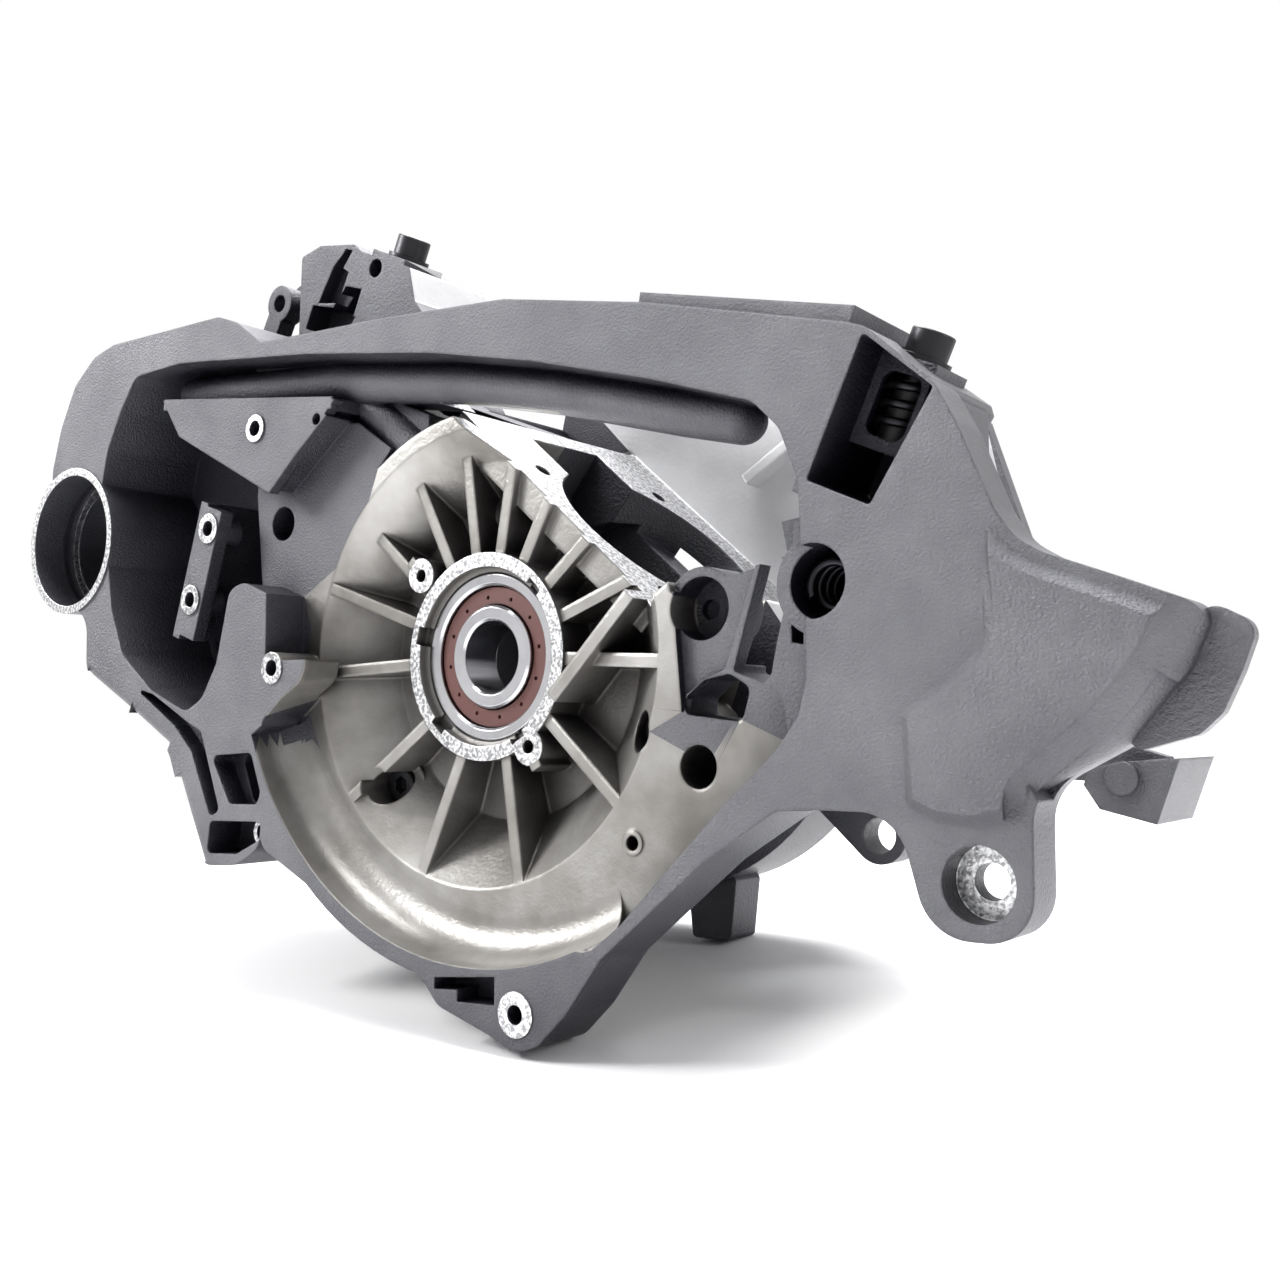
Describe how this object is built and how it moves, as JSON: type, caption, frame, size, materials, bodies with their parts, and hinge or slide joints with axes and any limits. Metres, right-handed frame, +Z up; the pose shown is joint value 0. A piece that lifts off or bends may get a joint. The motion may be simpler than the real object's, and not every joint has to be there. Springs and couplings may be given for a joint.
{
  "type": "chain saw crankcase",
  "caption": "Cast light alloy crankcase of a chain saw, with ribbed fan chamber, ball bearings for the crankshaft, sloping cylinder seat and built in oil tank.",
  "frame": {"origin": "on the crank axis at the middle of the fan side bearing", "axes": "+X to the rear of the saw, +Y from the fan side to the clutch side along the crank axis, +Z up"},
  "size_m": [0.342, 0.1098, 0.196],
  "materials": {
    "casting": "sand cast, grey",
    "gasket": "pressed fibre",
    "screw": "black oxide",
    "bearing_steel": "ground",
    "cage": "moulded, brown",
    "spring": "dark, oiled",
    "plug": "moulded, black"
  },
  "bodies": {
    "crankcase": {"crankcase_fan_side": "casting", "crankcase_clutch_side": "casting", "crankcase_gasket": "gasket", "crankcase_screws": "screw", "dowel_sleeves": "bearing_steel", "side_spring": "spring", "fan_bearing_outer_ring": "bearing_steel", "clutch_bearing_outer_ring": "bearing_steel", "rear_mount_screw": "screw", "rear_mount_washer": "screw", "rear_mount_spring": "spring", "rear_mount_plug": "plug", "front_mount_screw": "screw", "front_mount_washer": "screw", "front_mount_spring": "spring", "front_mount_plug": "plug"},
    "fan_inner_ring": {"fan_bearing_inner_ring": "bearing_steel"},
    "fan_rollers": {"fan_bearing_balls": "bearing_steel", "fan_bearing_cage": "cage"},
    "clutch_inner_ring": {"clutch_bearing_inner_ring": "bearing_steel"},
    "clutch_rollers": {"clutch_bearing_balls": "bearing_steel", "clutch_bearing_cage": "cage"}
  },
  "joints": [
    {"name": "fan_ring_spin", "type": "hinge", "parent": "crankcase", "child": "fan_inner_ring", "pos_m": [0, 0, 0], "axis": [0, -1, 0], "continuous": true},
    {"name": "fan_rollers_spin", "type": "hinge", "parent": "crankcase", "child": "fan_rollers", "pos_m": [0, 0, 0], "axis": [0, -1, 0], "continuous": true},
    {"name": "clutch_ring_spin", "type": "hinge", "parent": "crankcase", "child": "clutch_inner_ring", "pos_m": [0, 0.056, 0], "axis": [0, -1, 0], "continuous": true},
    {"name": "clutch_rollers_spin", "type": "hinge", "parent": "crankcase", "child": "clutch_rollers", "pos_m": [0, 0.056, 0], "axis": [0, -1, 0], "continuous": true}
  ],
  "couplings": [
    {"joint": "fan_rollers_spin", "follows": "fan_ring_spin", "ratio": 0.3816},
    {"joint": "clutch_rollers_spin", "follows": "clutch_ring_spin", "ratio": 0.3816}
  ]
}
